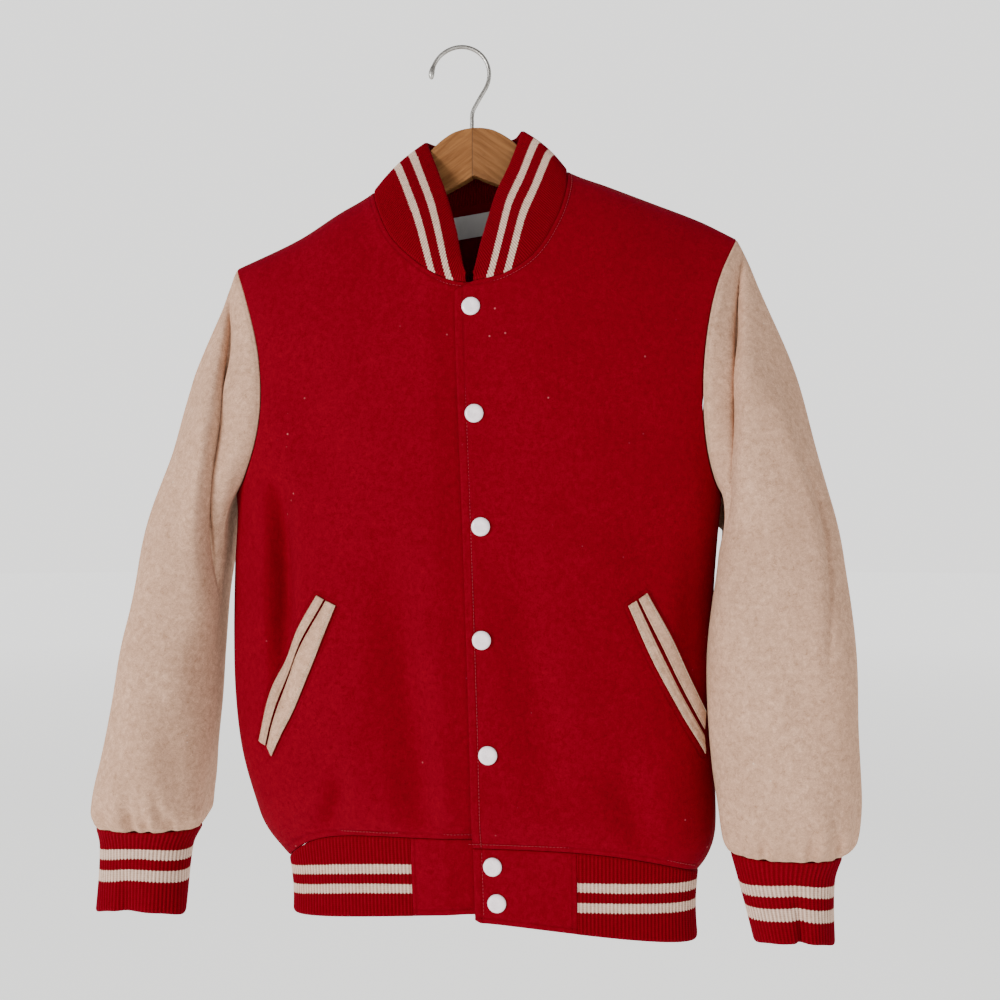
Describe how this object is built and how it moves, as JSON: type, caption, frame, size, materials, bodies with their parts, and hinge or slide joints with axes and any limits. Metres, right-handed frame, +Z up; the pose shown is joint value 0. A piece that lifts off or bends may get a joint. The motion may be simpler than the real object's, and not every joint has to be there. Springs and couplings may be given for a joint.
{
  "type": "varsity jacket on a hanger",
  "caption": "Red wool varsity jacket with cream wool sleeves, striped rib collar, cuffs and hem, white snaps and slant welt pockets, snapped closed on a wooden hanger with a wire hook.",
  "frame": {"origin": "inside of the top of the hanger's hook, where a nail or rail holds it", "axes": "+X to the viewer's right, towards the jacket's own left sleeve; +Y from the front to the back; +Z up"},
  "size_m": [0.6839, 0.1352, 0.8042],
  "materials": {
    "red_wool": "melton wool with a short nap",
    "cream_wool": "cream wool with a short nap, lightly pilled",
    "rib_knit": "rib knit wool, red with cream stripes",
    "snap_pearl": "pearly white domed caps",
    "label_white": "smooth woven label, bare",
    "hanger_wood": "varnished wood, fine grain",
    "hook_steel": "plain steel wire"
  },
  "bodies": {
    "root": {"back": "red_wool", "front_left": "red_wool", "front_right": "red_wool", "sleeve_left": "cream_wool", "sleeve_right": "cream_wool", "collar": "rib_knit", "cuff_left": "rib_knit", "cuff_right": "rib_knit", "hem_rib": "rib_knit", "hem_tab_left": "red_wool", "hem_tab_right": "red_wool", "welt_left_outer": "cream_wool", "welt_left_inner": "cream_wool", "welt_right_outer": "cream_wool", "welt_right_inner": "cream_wool", "snap_1": "snap_pearl", "snap_2": "snap_pearl", "snap_3": "snap_pearl", "snap_4": "snap_pearl", "snap_5": "snap_pearl", "snap_6": "snap_pearl", "snap_7": "snap_pearl", "label": "label_white", "hanger_wood": "hanger_wood", "hanger_hook": "hook_steel"}
  },
  "joints": []
}
